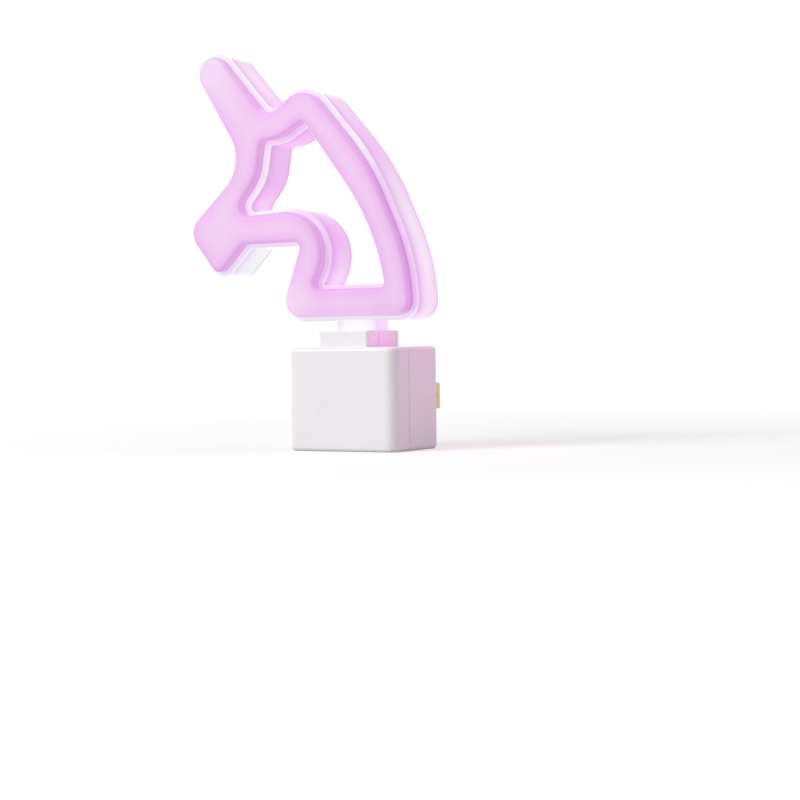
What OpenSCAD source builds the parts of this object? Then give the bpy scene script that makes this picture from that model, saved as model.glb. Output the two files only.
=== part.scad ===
// Plug in night light: a white plug-in housing that carries a glowing unicorn-head outline.
// Millimetres. +Z is up and +Y points into the wall. The origin is the centre of the plug
// face, midway between the blades, so the front of the light looks along -Y.

/* [Housing] */
// Width of the housing
housing_w = 29; // [28:0.5:36]
// Height of the housing
housing_h = 24.2; // [24:0.2:30]
// Depth of the housing, from the front to the plug face
housing_d = 20.8; // [20.4:0.2:26]
// Depth of the front shell, from the front to the parting line
front_shell_d = 7; // [5:0.2:7.4]
// Wall thickness of both shells
wall = 1.6; // [1.3:0.1:1.8]
// Thickness of the plug face
plug_face_t = 2; // [1.6:0.1:2.4]
// Radius of the upright front edges
front_edge_r = 2.6; // [2:0.1:4]
// Radius of the housing's other edges
rim_r = 1; // [0.3:0.05:1]
// Length of the tongue that locates the front shell
tongue_l = 1.2; // [0.6:0.1:2]
// Thickness of the tongue
tongue_t = 0.7; // [0.4:0.05:0.9]
// Width of the fine groove along the parting line
groove_w = 0.25; // [0.1:0.05:0.4]
// Depth of that groove
groove_d = 0.2; // [0.1:0.05:0.3]

/* [Collar] */
// Height of the collar above the housing
collar_h = 3.8; // [3:0.1:6]
// Depth of the collar
collar_d = 14.8; // [14:0.2:16]
// Setback of the collar from the housing's front
collar_setback = 1.6; // [1:0.1:2.2]
// Side walls of the collar
collar_wall = 1.2; // [0.9:0.1:1.6]
// Roof of the collar, which the foot passes through
collar_roof_t = 1; // [0.8:0.1:1.4]
// Radius of the collar's edges
collar_edge_r = 0.7; // [0.3:0.1:1]

/* [Head] */
// Height of the head's face, from its base to the tip of the horn
head_h = 63.6; // [50:0.2:90]
// Setback of the head's face from the housing's front
head_setback = 3.2; // [2.6:0.1:3.6]
// Gap between the collar and the head's plate
head_gap = 2.4; // [1.5:0.1:5]
// Thickness of the front diffuser
front_diffuser_t = 2.6; // [2.2:0.1:3]
// Thickness of the clear plate between the diffusers
plate_t = 1.8; // [1.4:0.1:2]
// Depth of the rear diffuser
rear_diffuser_d = 10.2; // [9:0.1:11]
// Thickness of the rear diffuser's walls
diffuser_wall = 1.6; // [1:0.1:1.8]
// How far the plate's edge stands out past the front diffuser
front_lip = 0.9; // [0.5:0.05:1.1]
// How far the plate's edge stands out past the rear diffuser
rear_lip = 0.3; // [0.1:0.05:0.5]
// Radius of the edges of the head's face
face_edge_r = 1; // [0.4:0.1:1.2]
// Radius of the edges of the head's back
back_edge_r = 1.5; // [0.5:0.1:1.5]
// Radius of the pins that locate the front diffuser
pin_r = 1; // [0.7:0.05:1.1]
// Depth of the pins' sockets in the front diffuser
socket_d = 1.4; // [0.8:0.1:1.6]

/* [Light guide foot] */
// Width of the foot
foot_w = 10.6; // [9:0.2:11]
// Thickness of the foot
foot_t = 5.8; // [5:0.1:6]
// Reach of the foot into the housing, below its top wall
foot_reach = 3.2; // [3:0.1:4]
// Step from the plate's back to the foot's front
foot_step = 0.4; // [0.2:0.1:0.6]
// Depth of the notch in the foot's front, which takes the clip
foot_notch_d = 1.2; // [0.8:0.1:1.5]
// Side of the clip's square section
clip_t = 1.3; // [1:0.1:1.5]
// Thickness of the ribs on both sides of the foot
rib_t = 1.2; // [0.9:0.1:1.5]

/* [Blades] */
// Distance between the blades' centres
blade_pitch = 12.7; // [12.7:0.1:12.8]
// Width of a blade
blade_w = 6.35; // [6.2:0.05:6.5]
// Thickness of a blade
blade_t = 1.5; // [1.4:0.05:1.65]
// Length of a blade in front of the plug face
blade_l = 16; // [15.9:0.1:18.2]
// Taper at a blade's tip
blade_taper = 1.2; // [0.5:0.1:2]
// Radius of the hole near a blade's tip
blade_hole_r = 1.6; // [1.4:0.05:1.8]
// Distance of that hole from the plug face
blade_hole_y = 11.7; // [11:0.1:12.5]
// Width of the blade's wings, which bear on the inside of the plug face
wing_w = 8.8; // [7.5:0.1:9.5]
// Length of the wings
wing_l = 1.2; // [0.8:0.1:1.5]
// Width of the blade's tail, which is soldered to the driver board
tail_w = 3.4; // [2.5:0.1:4]

/* [Blade retainer] */
// Gap between the ends of the bar that clamps the blades and the side walls
retainer_gap = 0.6; // [0.1:0.1:0.9]
// Height of the bar
retainer_h = 9; // [8:0.2:10]
// Thickness of the bar
retainer_t = 2; // [1.6:0.1:2.4]
// Distance of its screws from the bar's ends
screw_inset = 1.8; // [1.6:0.1:2.3]
// Radius of the screws' shanks
screw_r = 0.9; // [0.7:0.05:1.1]
// Radius of the screws' heads
screw_head_r = 1.7; // [1.4:0.05:1.8]
// Height of the screws' heads
screw_head_h = 1.1; // [0.8:0.1:1.4]
// Depth to which the screws enter the bosses
screw_grip = 2.2; // [1.8:0.1:2.4]

/* [Driver board] */
// Thickness of both circuit boards
board_t = 1.2; // [0.8:0.1:1.6]
// Gap between the blade retainer and the driver board
board_standoff = 2.2; // [1.8:0.1:2.4]
// Size of the film capacitor across, out from the board and up
film_size = [13, 9, 5]; // [3:0.1:14]
// Diameter of the smoothing capacitor
can_dia = 4.4; // [4:0.1:5]
// Length of the smoothing capacitor
can_l = 9; // [6:0.1:9.6]
// Size of the bridge rectifier across, out from the board and up
bridge_size = [4.8, 2.5, 4]; // [2:0.1:5]
// Diameter of the fuse resistor
fuse_dia = 2.4; // [1.8:0.1:2.6]
// Length of the fuse resistor's body
fuse_l = 6.4; // [4:0.1:7]
// Size of a chip resistor across, out from the board and up
chip_size = [3.2, 0.6, 1.5]; // [0.4:0.1:3.4]
// Number of chip resistors
chip_count = 2; // [1:1:2]

/* [LED board] */
// Number of LEDs under the foot
led_count = 3; // [2:1:3]
// Size of an LED across, deep and high
led_size = [2.6, 3.2, 0.7]; // [0.5:0.1:3.4]
// Diameter of the wires between the boards
wire_dia = 0.9; // [0.6:0.1:1]
// Inner bend radius of those wires
wire_bend_r = 0.6; // [0.4:0.1:1]

/* [Switch] */
// Travel of the switch between ON and OFF
switch_travel = 2; // [1.5:0.1:2.4]
// Length of the switch's frame, along its travel
frame_l = 8.2; // [8:0.1:8.8]
// Width of the frame, across the board
frame_w = 3.8; // [3.6:0.1:4.2]
// Height of the frame above the board
frame_h = 3.6; // [3.4:0.1:4.5]
// Wall of the frame
frame_wall = 0.5; // [0.4:0.05:0.7]
// Side of the square stem that passes through the wall
stem_t = 1.6; // [1.2:0.1:1.8]
// Width of the knob
knob_w = 3.2; // [2.8:0.1:4]
// How far the knob stands out of the housing's side
knob_proud = 0.8; // [0.4:0.1:1.6]
// Distance from the switch's frame to the post below it
frame_clear = 0.6; // [0.2:0.1:0.9]
// Depth of the recess that the knob slides in
recess_d = 0.7; // [0.5:0.05:0.9]
// Number of grip ridges on the knob
grip_count = 5; // [3:1:5]

/* [Fits] */
// Gap round the foot in the collar
foot_gap = 0.1; // [0.05:0.05:0.2]
// Gap at fixed pieces that fit into one another
fit_gap = 0.05; // [0.03:0.01:0.08]
// Gap round the light guide's core
core_gap = 0.4; // [0.2:0.1:0.6]
// Gap round the moving pieces of the switch
slide_gap = 0.15; // [0.1:0.01:0.2]

/* [Hidden] */
$fn = 64;

// The head's outline and its window: corners [x, z, radius], with z from the face's base.
// Each run goes clockwise from the horn's tip, or from the window's corner below the horn.
OUTLINE_CORNERS = [
    [-42.2, 60.1, 3.4], [-36.3, 64.5, 2.4],
    [-21.5, 47.5, 4.3], [-11.2, 55.2, 6.3],
    [5.8, 35.8, 62], [15.8, 13.5, 48],
    [16.8, 0, 3.6], [-18.7, 0, 4.2],
    [-12.3, 17.9, 1.6], [-28.7, 17.8, 2],
    [-36.2, 10.2, 2.3], [-44.9, 21.5, 4.5],
    [-28, 37, 9.4]
];
WINDOW_CORNERS = [
    [-23.2, 42.1, 1.4], [-18.1, 42.6, 3.1],
    [-11.4, 46.3, 1.4], [1.9, 28.5, 58],
    [8.2, 17.1, 52], [10.1, 6.6, 1.4],
    [-10.2, 6.6, 1.5], [2.6, 26.1, 10.3],
    [-31.9, 24.4, 2.3], [-24.6, 33.6, 10.4]
];
// Places of the locating pins, as [x, z]
PIN_PLACES = [[-32.2, 53.2], [-35.6, 19.4], [-0.8, 38.2], [-13.2, 3.3], [13.4, 3.3]];

// Arcs of the outline get a point at least this often, in degrees and in millimetres
ARC_STEP = 12;
CHORD = 3.5;
// Steps of the rounded edges
EDGE_STEPS = 3;
// Least radius that an inset corner keeps
LEAST_R = 0.2;
// Length by which cutters pass through a face
THROUGH = 1;

// Gap between neighbours that don't touch, and the wider one round the boards
SMALL_GAP = 0.2;
BOARD_GAP = 0.3;

// Rims stay below this share of the upright front edges' radius
RIM_SHARE = 0.45;

front_y = -housing_d;
parting_y = front_y + front_shell_d;
top_z = housing_h / 2;
inner_top_z = top_z - wall;
inner_w = housing_w - 2 * wall;
inner_back_y = -plug_face_t;
housing_rim_r = min(rim_r, RIM_SHARE * front_edge_r);
collar_rim_r = RIM_SHARE * collar_edge_r;

collar_slot_w = foot_w + 2 * foot_gap;
collar_w = collar_slot_w + 2 * collar_wall;
collar_front_y = front_y + collar_setback;
collar_back_y = collar_front_y + collar_d;
collar_top_z = top_z + collar_h;

face_y = front_y + head_setback;
plate_front_y = face_y + front_diffuser_t;
plate_back_y = plate_front_y + plate_t;
head_back_y = plate_back_y + rear_diffuser_d;
head_base_z = collar_top_z + head_gap + front_lip;
// How far the rear diffuser, its pocket and the light guide's core lie from the face's outline
rear_grow = front_lip - rear_lip;
pocket_inset = diffuser_wall - rear_grow;
core_inset = pocket_inset + core_gap;

foot_front_y = plate_back_y + foot_step;
foot_back_y = foot_front_y + foot_t;
foot_top_z = head_base_z + core_inset + SMALL_GAP;

blade_x = blade_pitch / 2;
wing_y = inner_back_y - wing_l;
retainer_w = inner_w - 2 * retainer_gap;
screw_pitch = retainer_w - 2 * screw_inset;
retainer_y = wing_y - retainer_t;
screw_head_y = retainer_y - screw_head_h;
screw_cross_w = 0.4;
boss_r = screw_head_r + SMALL_GAP;

board_back_y = retainer_y - board_standoff;
board_front_y = board_back_y - board_t;
board_w = inner_w - 2 * BOARD_GAP;
board_bottom_z = -inner_top_z + BOARD_GAP;
tail_end_y = board_front_y - 0.5;
// Posts in front of the board and rests behind it
post_r = 1.1;
post_x = inner_w / 2 - 2 * post_r;
post_z = board_bottom_z + post_r + 0.1;
rest_w = 1.2;
rest_h = 3;

// The LED board lies under the foot on ledges of the ribs, and the driver board below them
ledge_t = 0.8;
ledge_w = 1;
foot_bottom_z = inner_top_z - foot_reach;
led_z = foot_bottom_z - SMALL_GAP - led_size[2];
led_board_z = led_z - board_t;
ledge_z = led_board_z - ledge_t;
board_top_z = ledge_z - SMALL_GAP;
rib_x = collar_slot_w / 2;
rib_back_y = foot_back_y + rib_t;
clip_z = (foot_bottom_z + inner_top_z) / 2;
clip_l = 2 * (rib_x + rib_t);
clip_back_y = foot_front_y + foot_notch_d - fit_gap;
clip_front_y = clip_back_y - clip_t;
rib_front_y = (clip_front_y + clip_back_y) / 2;

switch_z = post_z + post_r + frame_clear + frame_l / 2;
frame_x = -inner_w / 2 + BOARD_GAP;
frame_inner_x = frame_x + frame_wall;
frame_front_y = board_front_y - frame_h;
stem_y = board_front_y - frame_h / 2;
on_z = switch_z + switch_travel / 2;
slot_l = stem_t + switch_travel + 2 * slide_gap;
// The knob covers the slot in both positions
knob_cover = 0.3;
knob_l = slot_l + switch_travel + 2 * knob_cover;
knob_edge_r = 0.3;
grip_r = 0.3;
recess_l = knob_l + switch_travel + 2 * slide_gap;
recess_x = -housing_w / 2 + recess_d;
knob_out_x = -housing_w / 2 - knob_proud;
stem_end_x = -housing_w / 2;
carriage_l = 2 * stem_t;
carriage_t = 1.4;
carriage_w = frame_h - 2 * frame_wall - 2 * slide_gap;
contact_t = 0.4;
contact_w = 1;
contact_l = carriage_l - SMALL_GAP;
contact_x = frame_inner_x + slide_gap + carriage_t;
terminal_t = 0.4;
terminal_w = 0.8;
terminal_l = 1;
terminal_proud = 0.6;
terminal_x = contact_x + contact_t + fit_gap;
terminal_pitch = 2.5;

film_z = board_bottom_z + BOARD_GAP + film_size[2] / 2;
film_edge_r = 0.4;
fuse_lift = 0.6;
fuse_y = board_front_y - fuse_lift - fuse_dia / 2;
fuse_z = film_z + film_size[2] / 2 + fuse_lift + fuse_dia / 2;
fuse_lead_r = 0.3;
fuse_lead_x = fuse_l / 2 + 1;
fuse_top_z = fuse_z + fuse_dia / 2;
bridge_x = ledge_w - rib_x + SMALL_GAP + bridge_size[0] / 2;
bridge_z = fuse_top_z + SMALL_GAP + bridge_size[2] / 2;
// The can stands beside the blade's tail and below it, and the chips are above the can
can_x = inner_w / 2 - SMALL_GAP - can_dia / 2;
can_z = -tail_w / 2 - SMALL_GAP - can_dia / 2;
chip_x = can_x;
chip_z = can_z + can_dia / 2 + SMALL_GAP + chip_size[2] / 2;
chip_pitch = chip_size[2] + BOARD_GAP;
can_groove_y = 0.8;
can_groove_w = 0.8;
can_groove_d = 0.25;
can_edge = 0.3;
wire_pitch = 2.6;
wire_x = rib_x - ledge_w - SMALL_GAP - wire_dia / 2 - wire_pitch;
wire_z = board_top_z - wire_dia;
wire_stub_l = 0.4;

white_abs = [0.93, 0.93, 0.94];
pink = [0.93, 0.72, 0.93];
clear = [0.93, 0.95, 1];
board_green = [0.16, 0.42, 0.27];
steel = [0.72, 0.72, 0.74];
brass = [0.83, 0.69, 0.38];
dark = [0.12, 0.12, 0.13];

// ---- Outlines -------------------------------------------------------------------------

function unit(v) = v / norm(v);
function flat(corner) = [corner[0], corner[1]];
function around(list, i) = list[(i + len(list)) % len(list)];
// Half the angle between the two edges that meet in corner i
function half_angle(c, i) =
    acos(unit(flat(around(c, i - 1)) - flat(c[i])) * unit(flat(around(c, i + 1)) - flat(c[i]))) / 2;
function bisector(c, i) =
    unit(unit(flat(around(c, i - 1)) - flat(c[i])) + unit(flat(around(c, i + 1)) - flat(c[i])));
// +1 where a clockwise outline turns clockwise, -1 where it bends back
function turn(c, i) =
    let (a = flat(c[i]) - flat(around(c, i - 1)), b = flat(around(c, i + 1)) - flat(c[i]))
    a[0] * b[1] - a[1] * b[0] < 0 ? 1 : -1;

// Corners scaled and lifted to the height z, each with the number of steps of its arc
function placed(corners, scale, z) = [
    for (i = [0 : len(corners) - 1])
        let (c = corners[i], sweep = 180 - 2 * half_angle(corners, i))
        [c[0] * scale, c[1] * scale + z, c[2] * scale,
            max(1, ceil(sweep / ARC_STEP), ceil(c[2] * sweep * PI / 180 / CHORD))]
];
// The same outline with its edges moved inwards by d
function inset(c, d) = [
    for (i = [0 : len(c) - 1])
        let (p = flat(c[i]) + turn(c, i) * bisector(c, i) * d / sin(half_angle(c, i)))
        [p[0], p[1], max(LEAST_R, c[i][2] - turn(c, i) * d), c[i][3]]
];
// Points of the outline, each corner rounded by an arc that is tangent to its edges
function rounded(c) = [
    for (i = [0 : len(c) - 1])
        let (half = half_angle(c, i), r = c[i][2], n = c[i][3],
            centre = flat(c[i]) + bisector(c, i) * r / sin(half),
            middle = atan2(-bisector(c, i)[1], -bisector(c, i)[0]),
            sweep = 180 - 2 * half)
        for (k = [0 : n])
            let (a = middle + turn(c, i) * sweep * (0.5 - k / n))
            centre + r * [cos(a), sin(a)]
];

head_scale = head_h / max([for (p = rounded(placed(OUTLINE_CORNERS, 1, 0))) p[1]]);
outline = placed(OUTLINE_CORNERS, head_scale, head_base_z);
window = placed(WINDOW_CORNERS, head_scale, head_base_z);
pin_places = [for (p = PIN_PLACES) [p[0] * head_scale, p[1] * head_scale + head_base_z]];
// The limbs of the head narrow by d on both edges: the outline moves in, the window out
function limb_outline(d) = inset(outline, d);
function limb_window(d) = inset(window, -d);

// ---- Shared forms ---------------------------------------------------------------------

// Rectangle from low to high, with corner radii r_low at its low edge and r_high at its high one
module rounded_rect(low, high, r_low, r_high) {
    w = high[0] - low[0];
    translate([low[0] + r_low, low[1]]) square([w - 2 * r_low, r_low]);
    translate([low[0], low[1] + r_low]) square([w, high[1] - low[1] - r_low - r_high]);
    translate([low[0] + r_high, high[1] - r_high]) square([w - 2 * r_high, r_high]);
    for (x = [low[0] + r_low, high[0] - r_low]) translate([x, low[1] + r_low]) circle(r_low);
    for (x = [low[0] + r_high, high[0] - r_high]) translate([x, high[1] - r_high]) circle(r_high);
}

// Block with rounded edges: upright ones r_front and r_rear, all others r_rim
module rounded_block(low, high, r_front, r_rear, r_rim) {
    size = high - low;
    intersection() {
        translate([0, 0, low[2]]) linear_extrude(size[2])
            rounded_rect([low[0], low[1]], [high[0], high[1]], r_front, r_rear);
        translate([0, high[1], 0]) rotate([90, 0, 0]) linear_extrude(size[1])
            rounded_rect([low[0], low[2]], [high[0], high[2]], r_rim, r_rim);
        translate([low[0], 0, 0]) rotate([90, 0, 90]) linear_extrude(size[0])
            rounded_rect([low[1], low[2]], [high[1], high[2]], r_rim, r_rim);
    }
}

// Block with upright front edges of radius r_front, round which its rims run on. All the other
// edges have the rims' radius, which is less than half of r_front.
module rimmed_block(low, high, r_front, r_rim) {
    size = high - low;
    // Full width behind the front edges
    translate([0, high[1] - r_rim, 0]) rotate([90, 0, 0]) linear_extrude(size[1] - r_front - r_rim)
        rounded_rect([low[0], low[2]], [high[0], high[2]], r_rim, r_rim);
    // Full depth between the front edges, and the rear half between the rear edges
    translate([low[0] + r_front, 0, 0]) rotate([90, 0, 90]) linear_extrude(size[0] - 2 * r_front)
        rounded_rect([low[1], low[2]], [high[1], high[2]], r_rim, r_rim);
    translate([low[0] + r_rim, 0, 0]) rotate([90, 0, 90]) linear_extrude(size[0] - 2 * r_rim)
        rounded_rect([high[1] - size[1] / 2, low[2]], [high[1], high[2]], r_rim, r_rim);
    for (x = [low[0] + r_front, high[0] - r_front])
        translate([x, low[1] + r_front, 0]) rimmed_post(r_front, low[2], high[2], r_rim);
    for (x = [low[0] + r_rim, high[0] - r_rim]) translate([x, high[1] - r_rim, 0]) {
        for (z = [low[2] + r_rim, high[2] - r_rim]) translate([0, 0, z]) sphere(r_rim);
        translate([0, 0, low[2] + r_rim]) cylinder(r = r_rim, h = size[2] - 2 * r_rim);
    }
}

// Upright round post with rounded rims
module rimmed_post(r, z0, z1, r_rim) {
    rotate_extrude() {
        translate([0, z0]) square([r - r_rim, z1 - z0]);
        translate([0, z0 + r_rim]) square([r, z1 - z0 - 2 * r_rim]);
        for (z = [z0 + r_rim, z1 - r_rim]) translate([r - r_rim, z]) circle(r_rim);
    }
}

// Box between two corners
module box(low, high) {
    translate(low) cube(high - low);
}

// Box of the given size, centred in X and Z, from y0 to y1
module plate(x, z, size_x, size_z, y0, y1) {
    box([x - size_x / 2, y0, z - size_z / 2], [x + size_x / 2, y1, z + size_z / 2]);
}

// Round rod along Y
module rod_y(x, z, r, y0, y1) {
    translate([x, y1, z]) rotate([90, 0, 0]) cylinder(r = r, h = y1 - y0);
}

// Outline extruded along Y
module slab(points, y0, y1) {
    translate([0, y1, 0]) rotate([90, 0, 0]) linear_extrude(y1 - y0) polygon(points);
}

// Ring that cuts an edge of radius r along the outline c, swept with the profile of that edge.
// The flat face is at y and the wall goes from it along dir. The limb lies inside the outline
// for side = 1 and outside it for side = -1.
module edge_cutter(c, side, r, y, dir) {
    // Each point is [inset, depth below the face]
    arc = [for (k = [0 : EDGE_STEPS]) let (a = 90 * k / EDGE_STEPS) r * [1 - sin(a), 1 - cos(a)]];
    profile = concat(arc, [[-LEAST_R, r], [-LEAST_R, -LEAST_R], [r, -LEAST_R]]);
    rings = [
        for (p = profile) [for (q = rounded(inset(c, side * p[0]))) [q[0], y + dir * p[1], q[1]]]
    ];
    n = len(rings[0]);
    m = len(rings);
    faces = [
        for (k = [0 : m - 1]) for (i = [0 : n - 1])
            let (a = k * n, b = (k + 1) % m * n, j = (i + 1) % n)
            side * dir > 0 ? [a + i, a + j, b + j, b + i] : [b + i, b + j, a + j, a + i]
    ];
    polyhedron([for (ring = rings) each ring], faces);
}

// ---- Housing --------------------------------------------------------------------------

module housing_form() {
    rimmed_block([-housing_w / 2, front_y, -top_z], [housing_w / 2, 0, top_z],
        front_edge_r, housing_rim_r);
}

module housing_cavity() {
    rounded_block([-inner_w / 2, front_y + wall, -inner_top_z],
        [inner_w / 2, inner_back_y, inner_top_z],
        max(LEAST_R, front_edge_r - wall), LEAST_R, LEAST_R);
}

module collar_form() {
    rimmed_block([-collar_w / 2, collar_front_y, inner_top_z],
        [collar_w / 2, collar_back_y, collar_top_z], collar_edge_r, collar_rim_r);
}

module collar_cavity() {
    box([-rib_x, collar_front_y + collar_wall, inner_top_z - THROUGH],
        [rib_x, collar_back_y - collar_wall, collar_top_z - collar_roof_t]);
    box([-rib_x, foot_front_y - foot_gap, inner_top_z],
        [rib_x, foot_back_y + foot_gap, collar_top_z + THROUGH]);
}

// Everything in front of the depth y, or behind it
module front_of(y) { box([-housing_w, front_y - THROUGH, -housing_h], [housing_w, y, housing_h]); }
module behind(y) { box([-housing_w, y, -housing_h], [housing_w, THROUGH, housing_h]); }

// Ring inside the wall, d from its outer face, along the tongue's length
module tongue_ring(d, reach) {
    intersection() {
        rounded_block([-housing_w / 2 + d, front_y, -top_z + d], [housing_w / 2 - d, 0, top_z - d],
            front_edge_r, housing_rim_r, max(LEAST_R, housing_rim_r - d));
        box([-housing_w, parting_y - reach, -housing_h], [housing_w, parting_y, housing_h]);
    }
}

// Everything more than groove_d below the surface, along the groove's width
module groove_core() {
    rounded_block([-housing_w / 2 + groove_d, front_y, -top_z + groove_d],
        [housing_w / 2 - groove_d, 0, top_z - groove_d],
        front_edge_r, housing_rim_r, max(LEAST_R, housing_rim_r - groove_d));
    box([-collar_w / 2 + groove_d, parting_y - THROUGH, 0],
        [collar_w / 2 - groove_d, parting_y + THROUGH, collar_top_z - groove_d]);
}

module parting_groove() {
    difference() {
        box([-housing_w, parting_y - groove_w, -housing_h], [housing_w, parting_y, housing_h]);
        groove_core();
    }
}

module front_shell() color(white_abs) {
    difference() {
        union() {
            housing_form();
            collar_form();
        }
        behind(parting_y);
        parting_groove();
        housing_cavity();
        collar_cavity();
        tongue_ring(wall - tongue_t - fit_gap, tongue_l + fit_gap);
    }
    // Posts that hold the driver board against the rear shell's rests
    for (x = [-post_x, post_x]) rod_y(x, post_z, post_r, front_y + wall, board_front_y);
    // Rib that holds the foot's clip in its notches
    plate(0, clip_z, rib_t, 2 * clip_t, front_y + wall, clip_front_y);
}

module rear_shell() color(white_abs) {
    difference() {
        union() {
            difference() {
                union() {
                    housing_form();
                    collar_form();
                }
                front_of(parting_y);
                housing_cavity();
            }
            difference() {
                tongue_ring(wall - tongue_t, tongue_l);
                housing_cavity();
            }
        }
        collar_cavity();
        for (side = [-1, 1])
            plate(side * blade_x, 0, blade_t + 2 * fit_gap, blade_w + 2 * fit_gap,
                inner_back_y - THROUGH, THROUGH);
        knob_recess();
        stem_slot();
        screw_holes(wing_y - THROUGH);
    }
    foot_ribs();
    screw_bosses();
    board_rests();
}

// Recess on the housing's side, where the knob slides
module knob_recess() {
    box([-housing_w / 2 - THROUGH, stem_y - knob_w / 2 - slide_gap, switch_z - recess_l / 2],
        [recess_x, stem_y + knob_w / 2 + slide_gap, switch_z + recess_l / 2]);
}

module stem_slot() {
    box([-housing_w / 2 - THROUGH, stem_y - stem_t / 2 - slide_gap, switch_z - slot_l / 2],
        [-inner_w / 2 + THROUGH, stem_y + stem_t / 2 + slide_gap, switch_z + slot_l / 2]);
}

// Blind holes for the retainer's screws, which open at the depth y
module screw_holes(y) {
    for (side = [-1, 1])
        rod_y(side * screw_pitch / 2, 0, screw_r + fit_gap, y, wing_y + screw_grip);
}

module screw_bosses() {
    difference() {
        for (side = [-1, 1]) rod_y(side * screw_pitch / 2, 0, boss_r, wing_y, inner_back_y);
        screw_holes(wing_y - THROUGH);
    }
}

// Ribs beside the foot, with a ledge under the LED board and a notch for the clip
module foot_ribs() {
    for (side = [0, 1]) mirror([side, 0, 0]) difference() {
        union() {
            box([rib_x, rib_front_y, ledge_z], [rib_x + rib_t, rib_back_y, inner_top_z]);
            box([rib_x - ledge_w, foot_front_y, ledge_z], [rib_x, rib_back_y, led_board_z]);
        }
        box([rib_x - THROUGH, clip_front_y - THROUGH, clip_z - clip_t / 2 - fit_gap],
            [rib_x + rib_t + THROUGH, clip_back_y, clip_z + clip_t / 2 + fit_gap]);
    }
}

// Rests on the side walls, which the driver board lies against
module board_rests() {
    for (side = [0, 1]) mirror([side, 0, 0])
        box([inner_w / 2 - rest_w, board_back_y, board_bottom_z],
            [inner_w / 2, inner_back_y, board_bottom_z + rest_h]);
}

// ---- Blades and their retainer --------------------------------------------------------

// Blade with wings, a tail and a tip that narrows on its broad faces and on its edges
module blade(side) {
    x = side * blade_x;
    tip_y = blade_l - blade_taper;
    difference() {
        union() {
            intersection() {
                translate([0, 0, -blade_w / 2]) linear_extrude(blade_w)
                    blade_plan(x, blade_t / 2, wing_y, tip_y);
                translate([x - blade_t / 2, 0, 0]) rotate([90, 0, 90]) linear_extrude(blade_t)
                    rotate(-90) mirror([1, 0]) blade_plan(0, blade_w / 2, wing_y, tip_y);
            }
            plate(x, 0, blade_t, wing_w, wing_y, inner_back_y);
            plate(x, 0, blade_t, tail_w, tail_end_y, wing_y);
        }
        translate([x - blade_t, blade_hole_y, 0]) rotate([0, 90, 0])
            cylinder(r = blade_hole_r, h = 2 * blade_t);
    }
}

// Strip of half width h round x from y0 to the blade's end, which narrows from y1 on
module blade_plan(x, h, y0, y1) {
    n = blade_taper / 3;
    polygon([
        [x - h, y0], [x + h, y0], [x + h, y1],
        [x + h - n, blade_l], [x - h + n, blade_l], [x - h, y1]
    ]);
}

module blade_left() color(brass) blade(-1);
module blade_right() color(brass) blade(1);

module blade_retainer() color(white_abs) {
    difference() {
        plate(0, 0, retainer_w, retainer_h, retainer_y, wing_y);
        for (side = [-1, 1])
            plate(side * blade_x, 0, blade_t + 2 * fit_gap, tail_w + 2 * fit_gap,
                retainer_y - THROUGH, wing_y + THROUGH);
        for (side = [-1, 1])
            rod_y(side * screw_pitch / 2, 0, screw_r + fit_gap,
                retainer_y - THROUGH, wing_y + THROUGH);
    }
}

module retainer_screws() color(steel) {
    for (side = [-1, 1]) {
        x = side * screw_pitch / 2;
        difference() {
            union() {
                rod_y(x, 0, screw_head_r, screw_head_y, retainer_y);
                rod_y(x, 0, screw_r, retainer_y, wing_y + screw_grip - SMALL_GAP);
            }
            // Cross recess
            plate(x, 0, screw_head_r, screw_cross_w,
                screw_head_y - THROUGH, screw_head_y + screw_head_h / 2);
            plate(x, 0, screw_cross_w, screw_head_r,
                screw_head_y - THROUGH, screw_head_y + screw_head_h / 2);
        }
    }
}

// ---- Driver board and what is soldered to it ------------------------------------------

module driver_board() color(board_green) {
    difference() {
        box([-board_w / 2, board_front_y, board_bottom_z], [board_w / 2, board_back_y, board_top_z]);
        for (side = [-1, 1])
            plate(side * blade_x, 0, blade_t + 2 * fit_gap, tail_w + 2 * fit_gap,
                board_front_y - THROUGH, board_back_y + THROUGH);
        terminal_holes(board_front_y - THROUGH, board_back_y + THROUGH);
    }
}

module film_capacitor() color([0.78, 0.62, 0.2]) {
    rounded_block([-film_size[0] / 2, board_front_y - film_size[1], film_z - film_size[2] / 2],
        [film_size[0] / 2, board_front_y, film_z + film_size[2] / 2],
        film_edge_r, film_edge_r, film_edge_r);
}

module smoothing_capacitor() color(dark) {
    r = can_dia / 2;
    // The can's groove is near its base
    translate([can_x, board_front_y, can_z]) rotate([90, 0, 0]) rotate_extrude() polygon([
        [0, 0], [r, 0], [r, can_groove_y],
        [r - can_groove_d, can_groove_y + can_groove_w / 3],
        [r - can_groove_d, can_groove_y + 2 * can_groove_w / 3],
        [r, can_groove_y + can_groove_w], [r, can_l - can_edge],
        [r - can_edge, can_l], [0, can_l]
    ]);
}

module bridge_rectifier() color(dark) {
    plate(bridge_x, bridge_z, bridge_size[0], bridge_size[2],
        board_front_y - bridge_size[1], board_front_y);
}

module fuse_resistor() color([0.45, 0.62, 0.5]) {
    translate([-fuse_l / 2, fuse_y, fuse_z]) rotate([0, 90, 0]) cylinder(d = fuse_dia, h = fuse_l);
    for (side = [0, 1]) mirror([side, 0, 0]) {
        translate([fuse_l / 2, fuse_y, fuse_z]) rotate([0, 90, 0])
            cylinder(r = fuse_lead_r, h = fuse_lead_x - fuse_l / 2);
        translate([fuse_lead_x, fuse_y, fuse_z]) sphere(fuse_lead_r);
        rod_y(fuse_lead_x, fuse_z, fuse_lead_r, fuse_y, board_front_y);
    }
}

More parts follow.
